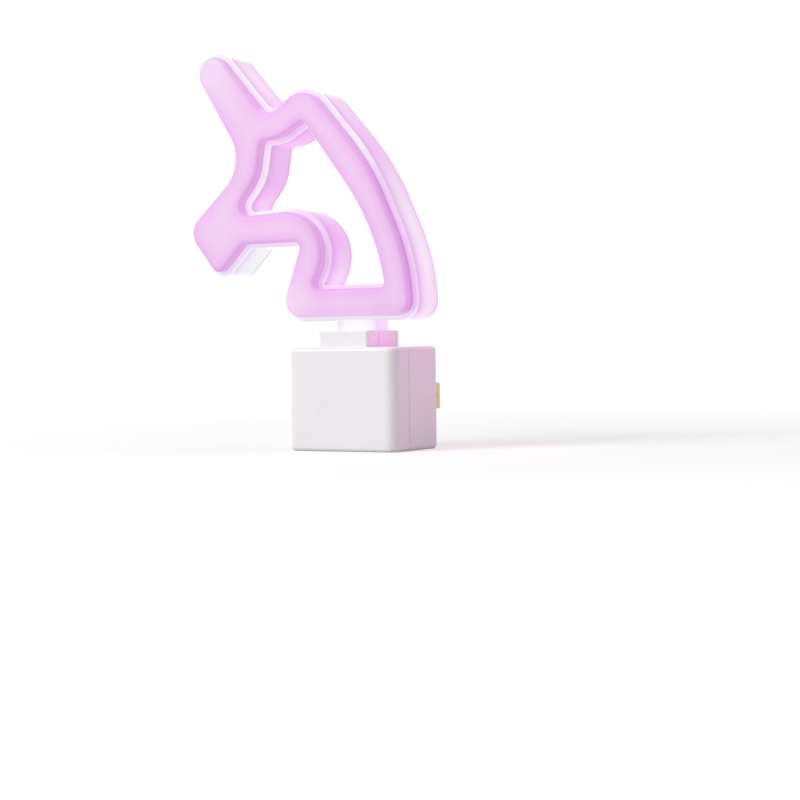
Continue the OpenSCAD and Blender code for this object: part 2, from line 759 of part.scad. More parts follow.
module chip_resistors() color(dark) {
    for (i = [0 : chip_count - 1])
        plate(chip_x, chip_z + i * chip_pitch, chip_size[0], chip_size[2],
            board_front_y - chip_size[1], board_front_y);
}

// ---- LED board ------------------------------------------------------------------------

module led_board() color([0.95, 0.95, 0.92]) {
    box([-rib_x + fit_gap, foot_front_y, led_board_z], [rib_x - fit_gap, foot_back_y, led_z]);
}

module leds() color([1, 0.96, 0.75]) {
    pitch = foot_w / led_count;
    for (i = [0 : led_count - 1]) {
        x = (i - (led_count - 1) / 2) * pitch;
        y = (foot_front_y + foot_back_y) / 2;
        box([x - led_size[0] / 2, y - led_size[1] / 2, led_z],
            [x + led_size[0] / 2, y + led_size[1] / 2, led_z + led_size[2]]);
    }
}

// Each wire leaves the driver board's front and bends up to the LED board
module led_wires() color([0.8, 0.15, 0.12]) {
    r = wire_dia / 2;
    bend = wire_bend_r + r;
    rise_y = board_front_y - wire_stub_l - bend;
    for (x = [wire_x, wire_x + wire_pitch]) {
        rod_y(x, wire_z, r, rise_y + bend, board_front_y);
        translate([x, rise_y + bend, wire_z + bend]) rotate([0, -90, 0]) rotate([0, 0, 180])
            rotate_extrude(angle = 90) translate([bend, 0]) circle(r);
        translate([x, rise_y, wire_z + bend]) cylinder(r = r, h = led_board_z - wire_z - bend);
    }
}

// ---- Head -----------------------------------------------------------------------------

module foot_clip() color(steel) {
    plate(0, clip_z, clip_l, clip_t, clip_front_y, clip_back_y);
}

module light_guide() color(clear) {
    difference() {
        union() {
            slab(rounded(limb_outline(-front_lip)), plate_front_y, plate_back_y);
            slab(rounded(limb_outline(core_inset)), plate_back_y, foot_back_y);
        }
        slab(rounded(limb_window(-front_lip)), plate_front_y - THROUGH, plate_back_y);
        slab(rounded(limb_window(core_inset)), plate_back_y, foot_back_y + THROUGH);
        for (p = pin_places)
            rod_y(p[0], p[1], pin_r + fit_gap, plate_front_y - THROUGH, foot_back_y + THROUGH);
    }
    difference() {
        box([-foot_w / 2, foot_front_y, foot_bottom_z], [foot_w / 2, foot_back_y, foot_top_z]);
        box([-foot_w, foot_front_y - THROUGH, clip_z - clip_t / 2 - fit_gap],
            [foot_w, foot_front_y + foot_notch_d, clip_z + clip_t / 2 + fit_gap]);
    }
}

module front_diffuser() color(pink) {
    difference() {
        slab(rounded(outline), face_y, plate_front_y);
        slab(rounded(window), face_y - THROUGH, plate_front_y + THROUGH);
        edge_cutter(outline, 1, face_edge_r, face_y, 1);
        edge_cutter(window, -1, face_edge_r, face_y, 1);
        for (p = pin_places)
            rod_y(p[0], p[1], pin_r + fit_gap, plate_front_y - socket_d, plate_front_y + THROUGH);
    }
}

module rear_diffuser() color(pink) {
    difference() {
        slab(rounded(limb_outline(-rear_grow)), plate_back_y, head_back_y);
        slab(rounded(limb_window(-rear_grow)), plate_back_y - THROUGH, head_back_y + THROUGH);
        edge_cutter(limb_outline(-rear_grow), 1, back_edge_r, head_back_y, -1);
        edge_cutter(limb_window(-rear_grow), -1, back_edge_r, head_back_y, -1);
        difference() {
            slab(rounded(limb_outline(pocket_inset)),
                plate_back_y - THROUGH, head_back_y - diffuser_wall);
            slab(rounded(limb_window(pocket_inset)), plate_back_y - 2 * THROUGH, head_back_y);
        }
        // Way for the foot through the base
        box([-foot_w / 2 - foot_gap, plate_back_y - THROUGH, head_base_z - front_lip - THROUGH],
            [foot_w / 2 + foot_gap, foot_back_y + foot_gap, foot_top_z]);
    }
    for (p = pin_places)
        rod_y(p[0], p[1], pin_r, plate_front_y - socket_d + fit_gap, head_back_y - diffuser_wall);
}

// ---- Switch ---------------------------------------------------------------------------

module terminal_holes(y0, y1) {
    for (i = [-1 : 1])
        plate(terminal_x + terminal_t / 2, switch_z + i * terminal_pitch,
            terminal_t + 2 * fit_gap, terminal_w + 2 * fit_gap, y0, y1);
}

module switch_frame() color(steel) {
    difference() {
        box([frame_x, frame_front_y, switch_z - frame_l / 2],
            [frame_x + frame_w, board_front_y, switch_z + frame_l / 2]);
        // Room for the carriage and its contact
        box([frame_inner_x, frame_front_y + frame_wall, switch_z - frame_l / 2 + frame_wall],
            [terminal_x, board_front_y - frame_wall, switch_z + frame_l / 2 - frame_wall]);
        box([frame_x - THROUGH, stem_y - stem_t / 2 - slide_gap, switch_z - slot_l / 2],
            [frame_inner_x + THROUGH, stem_y + stem_t / 2 + slide_gap, switch_z + slot_l / 2]);
        terminal_holes(stem_y - terminal_l, board_front_y + THROUGH);
    }
}

// Three pins: each has its contact face in the frame and its leg through the board
module switch_terminals() color(brass) {
    for (i = [-1 : 1])
        plate(terminal_x + terminal_t / 2, switch_z + i * terminal_pitch, terminal_t, terminal_w,
            stem_y - terminal_l + fit_gap, board_back_y + terminal_proud);
}

module switch_slider() color(dark) {
    box([contact_x - carriage_t, stem_y - carriage_w / 2, on_z - carriage_l / 2],
        [contact_x, stem_y + carriage_w / 2, on_z + carriage_l / 2]);
    box([stem_end_x, stem_y - stem_t / 2, on_z - stem_t / 2],
        [contact_x - carriage_t / 2, stem_y + stem_t / 2, on_z + stem_t / 2]);
}

module switch_contact() color(brass) {
    box([contact_x, stem_y - contact_w / 2, on_z - contact_l / 2],
        [contact_x + contact_t, stem_y + contact_w / 2, on_z + contact_l / 2]);
}

// Thumb piece with grip ridges and a socket for the stem
module switch_knob() color(white_abs) {
    ridge_pitch = knob_l / (grip_count + 1);
    difference() {
        rounded_block([knob_out_x, stem_y - knob_w / 2, on_z - knob_l / 2],
            [recess_x - slide_gap, stem_y + knob_w / 2, on_z + knob_l / 2],
            knob_edge_r, knob_edge_r, knob_edge_r);
        for (i = [1 : grip_count])
            translate([knob_out_x, stem_y - knob_w, on_z - knob_l / 2 + i * ridge_pitch])
                rotate([-90, 0, 0]) cylinder(r = grip_r, h = 2 * knob_w);
        box([stem_end_x - fit_gap, stem_y - stem_t / 2 - fit_gap, on_z - stem_t / 2 - fit_gap],
            [recess_x, stem_y + stem_t / 2 + fit_gap, on_z + stem_t / 2 + fit_gap]);
    }
}

front_shell();
rear_shell();
blade_left();
blade_right();
blade_retainer();
retainer_screws();
driver_board();
film_capacitor();
smoothing_capacitor();
bridge_rectifier();
fuse_resistor();
chip_resistors();
led_board();
leds();
led_wires();
foot_clip();
light_guide();
front_diffuser();
rear_diffuser();
switch_frame();
switch_terminals();
switch_slider();
switch_contact();
switch_knob();
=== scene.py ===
"""Looks of a plug in night light: a white housing that carries a glowing head outline.

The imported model's frame holds: metres, +Z up, +Y into the wall. The object's sizes that this script
adds are written in millimetres and times MM, and all others come from the frame. The places of the
lamps and the floor's size are in metres.
"""
import math

import bpy
import numpy as np
from mathutils import Matrix, Vector
from mathutils.geometry import delaunay_2d_cdt


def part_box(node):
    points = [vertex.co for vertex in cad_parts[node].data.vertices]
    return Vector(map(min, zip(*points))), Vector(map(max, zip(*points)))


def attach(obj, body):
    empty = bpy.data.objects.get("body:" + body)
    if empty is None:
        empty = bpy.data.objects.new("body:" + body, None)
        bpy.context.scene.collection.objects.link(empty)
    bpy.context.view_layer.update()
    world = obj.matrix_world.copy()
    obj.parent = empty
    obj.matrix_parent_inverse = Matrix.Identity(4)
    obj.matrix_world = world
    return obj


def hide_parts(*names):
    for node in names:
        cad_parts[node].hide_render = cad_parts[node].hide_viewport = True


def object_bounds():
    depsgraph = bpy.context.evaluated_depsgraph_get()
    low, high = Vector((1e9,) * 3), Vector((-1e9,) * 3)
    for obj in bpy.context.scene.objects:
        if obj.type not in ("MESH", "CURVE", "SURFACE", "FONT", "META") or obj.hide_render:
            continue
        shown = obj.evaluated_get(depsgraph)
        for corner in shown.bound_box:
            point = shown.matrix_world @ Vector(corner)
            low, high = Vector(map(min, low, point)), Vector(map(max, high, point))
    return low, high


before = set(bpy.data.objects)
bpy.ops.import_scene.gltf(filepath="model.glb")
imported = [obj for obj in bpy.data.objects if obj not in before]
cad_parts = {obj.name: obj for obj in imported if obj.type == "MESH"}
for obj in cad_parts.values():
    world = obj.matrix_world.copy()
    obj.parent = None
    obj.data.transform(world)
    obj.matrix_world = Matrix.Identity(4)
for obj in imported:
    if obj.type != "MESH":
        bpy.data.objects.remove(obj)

MM = 0.001
CAD_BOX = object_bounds()

# ---- Sizes of the head ----------------------------------------------------------------

# The head's outline and its window: corners (x, z, radius) in millimetres, with z from the face's
# base. They run clockwise, from the left of the horn's tip and from the window's upper left corner.
OUTLINE_CORNERS = [
    (-42.2, 60.1, 4.2), (-36.3, 64.5, 3.6), (-21.5, 47.5, 4.3), (-11.2, 55.2, 6.3),
    (5.8, 35.8, 62), (15.8, 13.5, 48), (16.8, 0, 3.6), (-18.7, 0, 4.2),
    (-12.3, 17.9, 1.6), (-28.7, 17.8, 2), (-36.2, 10.2, 2.3), (-44.9, 21.5, 4.5),
    (-28, 37, 9.4),
]
WINDOW_CORNERS = [
    (-23.2, 42.1, 1.4), (-18.1, 42.6, 10), (-11.4, 46.3, 1.4), (1.9, 28.5, 58),
    (8.2, 17.1, 52), (10.1, 6.6, 1.4), (-10.2, 6.6, 1.5), (2.6, 26.1, 10.3),
    (-31.9, 24.4, 2.3), (-24.6, 33.6, 10.4),
]
# Places of the locating pins, as (x, z)
PIN_PLACES = [(-32.2, 53.2), (-35.6, 19.4), (-0.8, 38.2), (-13.2, 3.3), (13.4, 3.3)]

# Least radius of an inset's corner, and the longest steps along arcs, straight runs and caps
LEAST_R = 0.2 * MM
ARC_STEP = math.radians(5)
RUN_STEP = 1.4 * MM
GRID_STEP = 1.1 * MM
# A cap's inner points keep this share of a grid step from its edges
GRID_CLEAR = 0.6
# Points closer than this, in millimetres, are one point to the triangulation
SAME_POINT = 1e-6
# Triangles of less than this area are only slivers between points in line
FLAT_AREA = 1e-6 * MM ** 2

# The clear plate, and how far it stands proud of the front and the rear diffuser
PLATE_T = 1.8 * MM
FRONT_LIP = 0.9 * MM
REAR_LIP = 0.3 * MM
# Wall of the rear diffuser, and the gap between it and the plate's core
DIFFUSER_WALL = 1.6 * MM
CORE_GAP = 0.4 * MM
# Rounded edges: the face, the head's back, the rims beside the plate, and the plate
FACE_EDGE_R = 1.0 * MM
BACK_EDGE_R = 1.5 * MM
INNER_EDGE_R = 0.25 * MM
PLATE_EDGE_R = 0.25 * MM
EDGE_STEPS = 7
SMOOTH_ANGLE = math.radians(35)
# Locating pins, the depth of their sockets, and how far a pin sinks into the wall behind it
PIN_R = 1.0 * MM
SOCKET_D = 1.4 * MM
PIN_SINK = 0.1 * MM
ROD_SIDES = 36
# Gap round a pin and round the clip, and how far a cutter reaches past a surface
FIT_GAP = 0.05 * MM
CUT_PAST = 1.0 * MM
# The plate's foot, the gap beside it, its notch, and how far it runs up into the core
FOOT_W = 10.6 * MM
FOOT_GAP = 0.1 * MM
FOOT_NOTCH_D = 1.2 * MM
FOOT_EDGE_R = 0.25 * MM
FOOT_EDGE_STEPS = 3
FOOT_SINK = 0.2 * MM


def rows_unit(v):
    """The rows of v, each scaled to length 1."""
    return v / np.linalg.norm(v, axis=1)[:, None]


class Outline:
    """Closed clockwise outline with a rounded corner at each of its points."""

    def __init__(self, at, radius, arc_steps=None, run_steps=None):
        self.at = at
        self.radius = radius
        before = rows_unit(np.roll(at, 1, 0) - at)
        after = rows_unit(np.roll(at, -1, 0) - at)
        self.bisector = rows_unit(before + after)
        self.half = np.arccos(np.clip((before * after).sum(1), -1, 1)) / 2
        cross = after[:, 0] * before[:, 1] - after[:, 1] * before[:, 0]
        self.turn = np.where(cross < 0, 1, -1)
        self.sweep = math.pi - 2 * self.half
        tangent = radius / np.tan(self.half)
        run = np.linalg.norm(np.roll(at, -1, 0) - at, axis=1) - tangent - np.roll(tangent, -1)
        if arc_steps is None:
            arc_steps = np.ceil(np.maximum(self.sweep / ARC_STEP, radius * self.sweep / RUN_STEP))
            run_steps = np.ceil(np.maximum(run, 0) / RUN_STEP)
        self.arc_steps = np.maximum(1, arc_steps).astype(int)
        self.run_steps = np.maximum(1, run_steps).astype(int)

    @classmethod
    def of(cls, corners, scale, base_z):
        """The outline of a list of corners, scaled and raised to its base."""
        table = np.array(corners) * scale
        return cls(table[:, :2] + (0, base_z), table[:, 2])

    def inset(self, d):
        """The same outline with its edges moved inwards by d."""
        at = self.at + (self.turn * d / np.sin(self.half))[:, None] * self.bisector
        radius = np.maximum(LEAST_R, self.radius - self.turn * d)
        return Outline(at, radius, self.arc_steps, self.run_steps)

    def points(self):
        """Points along the arcs and the straight runs: every inset has the same number."""
        arcs = []
        for i, n in enumerate(self.arc_steps):
            centre = self.at[i] + self.bisector[i] * self.radius[i] / math.sin(self.half[i])
            middle = math.atan2(-self.bisector[i][1], -self.bisector[i][0])
            angle = middle + self.turn[i] * self.sweep[i] * (0.5 - np.arange(n + 1) / n)
            arcs.append(centre + self.radius[i] * np.column_stack((np.cos(angle), np.sin(angle))))
        points = []
        for i, arc in enumerate(arcs):
            start, end = arc[-1], arcs[(i + 1) % len(arcs)][0]
            share = np.arange(1, self.run_steps[i])[:, None] / self.run_steps[i]
            points += [arc, start + share * (end - start)]
        return np.vstack(points)


def edge_distance(points, ring):
    """Distance of each point from a closed ring."""
    run = np.roll(ring, -1, 0) - ring
    out = points[:, None] - ring
    # The least value only keeps a run of no length from dividing by zero
    share = np.clip((out * run).sum(2) / np.maximum((run * run).sum(1), 1e-18), 0, 1)
    return np.linalg.norm(out - share[..., None] * run, axis=2).min(1)


def is_inside(points, ring):
    """Whether each point lies inside a closed ring."""
    x, z = points[:, 0:1], points[:, 1:2]
    nxt = np.roll(ring, -1, 0)
    crosses = (ring[:, 1] > z) != (nxt[:, 1] > z)
    rise = np.where(nxt[:, 1] == ring[:, 1], 1, nxt[:, 1] - ring[:, 1])
    at_x = ring[:, 0] + (z - ring[:, 1]) / rise * (nxt[:, 0] - ring[:, 0])
    return (crosses & (x < at_x)).sum(1) % 2 == 1


def head_measures():
    """Scale, base and depths of the head, read from the frame."""
    low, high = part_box("front_diffuser")
    across = Outline.of(OUTLINE_CORNERS, 1, 0).points()[:, 0]
    return (high.x - low.x) / (across.max() - across.min()), low.z, low.y, high.y


HEAD_SCALE, HEAD_BASE_Z, FACE_Y, PLATE_FRONT_Y = head_measures()
PLATE_BACK_Y = PLATE_FRONT_Y + PLATE_T
HEAD_BACK_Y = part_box("rear_diffuser")[1].y
CORE_BACK_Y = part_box("light_guide")[1].y
REAR_GROW = FRONT_LIP - REAR_LIP
POCKET_INSET = DIFFUSER_WALL - REAR_GROW
CORE_INSET = POCKET_INSET + CORE_GAP
FOOT_TOP_Z = HEAD_BASE_Z + CORE_INSET + FOOT_SINK
OUTLINE = Outline.of(OUTLINE_CORNERS, HEAD_SCALE, HEAD_BASE_Z)
WINDOW = Outline.of(WINDOW_CORNERS, HEAD_SCALE, HEAD_BASE_Z)
PINS = [(x * HEAD_SCALE, z * HEAD_SCALE + HEAD_BASE_Z) for x, z in PIN_PLACES]


# ---- Meshes ---------------------------------------------------------------------------

def make_object(name, verts, faces):
    """A mesh object of the given points and faces."""
    mesh = bpy.data.meshes.new(name)
    mesh.from_pydata([tuple(v) for v in verts], [], faces)
    mesh.validate()
    obj = bpy.data.objects.new(name, mesh)
    bpy.context.scene.collection.objects.link(obj)
    return obj


def box_object(name, low, high):
    """Box between its lowest and its highest corner."""
    xs, ys, zs = zip(low, high)
    verts = [(x, y, z) for x in xs for y in ys for z in zs]
    faces = [(0, 1, 3, 2), (4, 6, 7, 5), (0, 4, 5, 1), (2, 3, 7, 6), (0, 2, 6, 4), (1, 5, 7, 3)]
    return make_object(name, verts, faces)


def prism_faces(n):
    """Faces of a prism with n sides, whose points are listed one end after the other."""
    ends = [tuple(range(n)), tuple(range(2 * n - 1, n - 1, -1))]
    return ends + [(i, i + n, (i + 1) % n + n, (i + 1) % n) for i in range(n)]


def rod_y(x, z, r, y0, y1):
    """Round rod along Y."""
    angles = [2 * math.pi * i / ROD_SIDES for i in range(ROD_SIDES)]
    ring = [(x + r * math.cos(a), z + r * math.sin(a)) for a in angles]
    verts = [(px, y, pz) for y in (y0, y1) for px, pz in ring]
    return make_object("rod", verts, prism_faces(ROD_SIDES))


def apply_modifiers(obj):
    """Makes the modified shape the object's own mesh."""
    shape = obj.evaluated_get(bpy.context.evaluated_depsgraph_get())
    obj.data = bpy.data.meshes.new_from_object(shape)
    obj.modifiers.clear()


def combine(obj, other, operation):
    """Adds the other solid to obj or cuts it out, and removes the other."""
    modifier = obj.modifiers.new("combine", "BOOLEAN")
    modifier.operation = operation
    modifier.solver = "EXACT"
    modifier.object = other
    apply_modifiers(obj)
    bpy.data.objects.remove(other)


def limb_rings(d):
    """Outer and inner ring of the head's limbs, narrowed by d on both edges."""
    return OUTLINE.inset(d).points(), WINDOW.inset(-d).points()


def limb_cap(d, facing):
    """Grid points inside the limbs, and the cap's triangles, which number the ring points first."""
    outer, inner = limb_rings(d)
    rings = np.vstack((outer, inner))
    low, high = outer.min(0), outer.max(0)
    grid = np.stack(np.meshgrid(np.arange(low[0], high[0], GRID_STEP),
                                np.arange(low[1], high[1], GRID_STEP)), -1).reshape(-1, 2)
    clear = np.minimum(edge_distance(grid, outer), edge_distance(grid, inner))
    within = is_inside(grid, outer) & ~is_inside(grid, inner)
    grid = grid[within & (clear > GRID_STEP * GRID_CLEAR)]
    points = np.vstack((rings, grid))
    n, m = len(outer), len(inner)
    edges = [(i, (i + 1) % n) for i in range(n)] + [(n + i, n + (i + 1) % m) for i in range(m)]
    scaled = [Vector(p / MM) for p in points]
    _, _, tris, origins, _, _ = delaunay_2d_cdt(scaled, edges, [], 0, SAME_POINT)
    number = [o[0] for o in origins]
    tris = np.array([[number[v] for v in t] for t in tris])
    centre = points[tris].mean(1)
    tris = tris[is_inside(centre, outer) & ~is_inside(centre, inner)]
    a, b, c = (points[tris[:, k]] for k in range(3))
    area = (b[:, 0] - a[:, 0]) * (c[:, 1] - a[:, 1]) - (b[:, 1] - a[:, 1]) * (c[:, 0] - a[:, 0])
    flip = (area > 0) != (facing < 0)
    tris[flip] = tris[flip][:, ::-1]
    return grid, tris[abs(area) > FLAT_AREA]


def limb_solid(name, profile):
    """Closed solid of the head's limbs. The profile lists (inset, y) from one cap to the other."""
    verts, faces, ring_len = [], [], 0
    for d, y in profile:
        outer, inner = limb_rings(d)
        flat = np.vstack((outer, inner))
        verts.append(np.column_stack((flat[:, 0], np.full(len(flat), y), flat[:, 1])))
        n, ring_len = len(outer), len(flat)
    m = ring_len - n
    for k in range(len(profile) - 1):
        a, b = k * ring_len, (k + 1) * ring_len
        faces += [(a + i, a + (i + 1) % n, b + (i + 1) % n, b + i) for i in range(n)]
        a, b = a + n, b + n
        faces += [(a + (i + 1) % m, a + i, b + i, b + (i + 1) % m) for i in range(m)]
    total = len(profile) * ring_len
    for end, facing in ((0, -1), (len(profile) - 1, 1)):
        d, y = profile[end]
        grid, tris = limb_cap(d, facing)
        verts.append(np.column_stack((grid[:, 0], np.full(len(grid), y), grid[:, 1])))
        number = np.where(tris < ring_len, tris + end * ring_len, tris - ring_len + total)
        faces += [tuple(int(v) for v in t) for t in number]
        total += len(grid)
    obj = make_object(name, np.vstack(verts), faces)
    add_edge_attribute(obj)
    return obj


def add_edge_attribute(obj):
    """Stores each point's distance in millimetres from the face's nearest edge."""
    co = np.array([v.co for v in obj.data.vertices])[:, [0, 2]]
    outer, inner = limb_rings(0)
    far = np.minimum(edge_distance(co, outer), edge_distance(co, inner)) / MM
    layer = obj.data.attributes.new("edge", "FLOAT", "POINT")
    layer.data.foreach_set("value", far.astype(np.float32))


def rounded_edge(d, y, r, direction):
    """Profile points of a rounded edge, from the flat cap at y to the wall at inset d."""
    angles = [k / EDGE_STEPS * math.pi / 2 for k in range(EDGE_STEPS + 1)]
    return [(d + r * (1 - math.sin(a)), y + direction * r * (1 - math.cos(a))) for a in angles]


def shade(obj):
    """Smooth shading, with creases at the sharp edges."""
    obj.data.shade_smooth()
    bpy.context.view_layer.objects.active = obj
    obj.select_set(True)
    bpy.ops.object.shade_smooth_by_angle(angle=SMOOTH_ANGLE)
    obj.select_set(False)


def front_diffuser():
    """Front plate of the head, with blind sockets for the pins in its rear side."""
    profile = rounded_edge(0, FACE_Y, FACE_EDGE_R, 1)
    profile += rounded_edge(0, PLATE_FRONT_Y, INNER_EDGE_R, -1)[::-1]
    shell = limb_solid("front_diffuser_shell", profile)
    for x, z in PINS:
        socket = rod_y(x, z, PIN_R + FIT_GAP, PLATE_FRONT_Y - SOCKET_D, PLATE_FRONT_Y + CUT_PAST)
        combine(shell, socket, "DIFFERENCE")
    return shell


def rear_diffuser():
    """Hollow back of the head, with its pins and a way for the foot through its base."""
    rear = rounded_edge(-REAR_GROW, HEAD_BACK_Y, BACK_EDGE_R, -1)
    front = rounded_edge(-REAR_GROW, PLATE_BACK_Y, INNER_EDGE_R, 1)
    pocket = [(POCKET_INSET, HEAD_BACK_Y - DIFFUSER_WALL), (POCKET_INSET, PLATE_BACK_Y)]
    shell = limb_solid("rear_diffuser_shell", pocket + front + rear[::-1])
    half = FOOT_W / 2 + FOOT_GAP
    way = box_object("foot_way", (-half, PLATE_BACK_Y - CUT_PAST, HEAD_BASE_Z - 2 * CUT_PAST),
                     (half, CORE_BACK_Y + FOOT_GAP, FOOT_TOP_Z))
    combine(shell, way, "DIFFERENCE")
    pin_tip_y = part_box("rear_diffuser")[0].y
    for x, z in PINS:
        pin = rod_y(x, z, PIN_R, pin_tip_y, HEAD_BACK_Y - DIFFUSER_WALL + PIN_SINK)
        combine(shell, pin, "UNION")
    return shell


def light_guide():
    """Clear plate with its core behind it, holes for the pins, and the foot."""
    front = rounded_edge(-FRONT_LIP, PLATE_FRONT_Y, PLATE_EDGE_R, 1)
    rear = rounded_edge(-FRONT_LIP, PLATE_BACK_Y, PLATE_EDGE_R, -1)
    core = [(CORE_INSET, PLATE_BACK_Y), (CORE_INSET, CORE_BACK_Y)]
    plate = limb_solid("light_guide_plate", front + rear[::-1] + core)
    for x, z in PINS:
        hole = rod_y(x, z, PIN_R + FIT_GAP, PLATE_FRONT_Y - CUT_PAST, CORE_BACK_Y + CUT_PAST)
        combine(plate, hole, "DIFFERENCE")
    combine(plate, foot(), "UNION")
    return plate


def foot():
    """Foot of the light guide: a bar with a notch across its front for the clip."""
    clip_low, clip_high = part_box("foot_clip")
    notch_z = (clip_low.z + clip_high.z) / 2
    notch_y = clip_high.y + FIT_GAP
    front_y = notch_y - FOOT_NOTCH_D
    half_notch = (clip_high.z - clip_low.z) / 2 + FIT_GAP
    low_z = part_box("light_guide")[0].z
    side = [(front_y, low_z), (CORE_BACK_Y, low_z), (CORE_BACK_Y, FOOT_TOP_Z),
            (front_y, FOOT_TOP_Z), (front_y, notch_z + half_notch), (notch_y, notch_z + half_notch),
            (notch_y, notch_z - half_notch), (front_y, notch_z - half_notch)]
    verts = [(x, y, z) for x in (-FOOT_W / 2, FOOT_W / 2) for y, z in side]
    bar = make_object("foot_bar", verts, prism_faces(len(side)))
    bevel = bar.modifiers.new("edges", "BEVEL")
    bevel.width = FOOT_EDGE_R
    bevel.segments = FOOT_EDGE_STEPS
    apply_modifiers(bar)
    return bar


# ---- Materials ------------------------------------------------------------------------

WHITE = (1, 1, 1, 1)
# Sockets of a Mix node that mixes colours
MIX_FAC, MIX_A, MIX_B, MIX_OUT = 0, 6, 7, 2
# A noise lies mostly between these two values
NOISE_LOW = 0.3
NOISE_HIGH = 0.7
# A surface starts to count as an underside at the first of these values of its normal's Z, and
# counts fully at the second
FACES_DOWN = (-0.25, -0.7)
# Height over which the light on undersides fades out
UNDERSIDE_FADE = 3 * MM


def srgb(hex_code):
    """Linear colour of a #RRGGBB code."""
    parts = [int(hex_code[i:i + 2], 16) / 255 for i in (1, 3, 5)]
    return tuple(((c + 0.055) / 1.055) ** 2.4 if c > 0.04045 else c / 12.92 for c in parts) + (1,)


class Material:
    """A procedural material: helpers that add nodes to one Principled shader."""

    def __init__(self, name, **sockets):
        self.data = bpy.data.materials.new(name)
        self.data.use_nodes = True
        self.nodes, self.links = self.data.node_tree.nodes, self.data.node_tree.links
        self.shader = self.nodes["Principled BSDF"]
        for socket, value in sockets.items():
            self.shader.inputs[socket.replace("_", " ")].default_value = value
        self.place = self.nodes.new("ShaderNodeTexCoord").outputs["Object"]

    def link(self, out, into):
        """Connects an output socket to an input socket."""
        self.links.new(out, into)

    def noise(self, scale, detail=3, stretch=None):
        """Noise with features of about 1 / scale millimetres."""
        node = self.nodes.new("ShaderNodeTexNoise")
        node.inputs["Scale"].default_value = scale / MM
        node.inputs["Detail"].default_value = detail
        source = self.place
        if stretch:
            mapping = self.nodes.new("ShaderNodeMapping")
            mapping.inputs["Scale"].default_value = stretch
            self.link(source, mapping.inputs["Vector"])
            source = mapping.outputs["Vector"]
        self.link(source, node.inputs["Vector"])
        return node.outputs["Fac"]

    def ramp(self, fac, stops):
        """Colour ramp over fac; stops are (position, #RRGGBB code or linear colour)."""
        linear = [(at, srgb(c) if isinstance(c, str) else c) for at, c in stops]
        node = self.nodes.new("ShaderNodeValToRGB")
        elements = node.color_ramp.elements
        elements[0].position, elements[0].color = linear[0]
        elements[1].position, elements[1].color = linear[-1]
        for position, colour in linear[1:-1]:
            elements.new(position).color = colour
        self.link(fac, node.inputs["Fac"])
        return node.outputs["Color"]

    def span(self, value, low, high, out_low=0.0, out_high=1.0):
        """Maps low..high to out_low..out_high, and holds the ends beyond."""
        node = self.nodes.new("ShaderNodeMapRange")
        for socket, number in zip(("From Min", "From Max", "To Min", "To Max"),
                                  (low, high, out_low, out_high)):
            node.inputs[socket].default_value = number
        self.link(value, node.inputs["Value"])
        return node.outputs["Result"]

    def join(self, operation, *values):
        """Runs a math operation over two or more values."""
        result = values[0]
        for value in values[1:]:
            node = self.nodes.new("ShaderNodeMath")
            node.operation = operation
            self.link(result, node.inputs[0])
            self.link(value, node.inputs[1])
            result = node.outputs[0]
        return result

    def axis(self, letter):
        """Place along one axis, in metres."""
        node = self.nodes.new("ShaderNodeSeparateXYZ")
        self.link(self.place, node.inputs["Vector"])
        return node.outputs[letter]

    def underside(self, top_z):
        """1 on surfaces that face down below the height top_z, 0 on all others."""
        split = self.nodes.new("ShaderNodeSeparateXYZ")
        self.link(self.nodes.new("ShaderNodeNewGeometry").outputs["Normal"], split.inputs["Vector"])
        down = self.span(split.outputs["Z"], *FACES_DOWN)
        low = self.span(self.axis("Z"), top_z, top_z - UNDERSIDE_FADE)
        return self.join("MULTIPLY", down, low)

    def near(self, at, r_full, r_none, along=(1, 0, 1)):
        """1 within r_full millimetres of a place, 0 beyond r_none, along the axes that are 1."""
        flat = self.nodes.new("ShaderNodeVectorMath")
        flat.operation = "MULTIPLY"
        flat.inputs[1].default_value = along
        self.link(self.place, flat.inputs[0])
        far = self.nodes.new("ShaderNodeVectorMath")
        far.operation = "DISTANCE"
        far.inputs[1].default_value = Vector(at) * MM
        self.link(flat.outputs["Vector"], far.inputs[0])
        return self.span(far.outputs["Value"], r_none * MM, r_full * MM)

    def edge_mm(self):
        """Distance from the face's nearest edge, in millimetres."""
        node = self.nodes.new("ShaderNodeAttribute")
        node.attribute_name = "edge"
        return node.outputs["Fac"]

    def mix(self, fac, a, b, blend="MIX"):
        """Mixes two colours; each of the three may be a socket or a value."""
        node = self.nodes.new("ShaderNodeMix")
        node.data_type = "RGBA"
        node.blend_type = blend
        for source, number in ((fac, MIX_FAC), (a, MIX_A), (b, MIX_B)):
            if isinstance(source, bpy.types.NodeSocket):
                self.link(source, node.inputs[number])
            else:
                node.inputs[number].default_value = source
        return node.outputs[MIX_OUT]

    def clouded(self, source, scale, low):
        """The source colour under soft clouds, which darken it by the three shares of low."""
        clouds = self.ramp(self.noise(scale, detail=2), [(0.35, low + (1,)), (0.65, WHITE)])
        return self.mix(1.0, source, clouds, "MULTIPLY")

    def colour(self, source):
        """Takes the base colour from a socket."""
        self.link(source, self.shader.inputs["Base Color"])

    def vary_colour(self, hex_code, scale, amount):
        """Base colour with a soft mottle."""
        base = srgb(hex_code)[:3]
        low = tuple(c * (1 - amount) for c in base) + (1,)
        high = tuple(min(1, c * (1 + amount)) for c in base) + (1,)
        self.colour(self.ramp(self.noise(scale), [(NOISE_LOW, low), (NOISE_HIGH, high)]))

    def vary_roughness(self, low, high, scale=0.6):
        """Roughness that drifts between two values."""
        out = self.span(self.noise(scale), NOISE_LOW, NOISE_HIGH, low, high)
        self.link(out, self.shader.inputs["Roughness"])

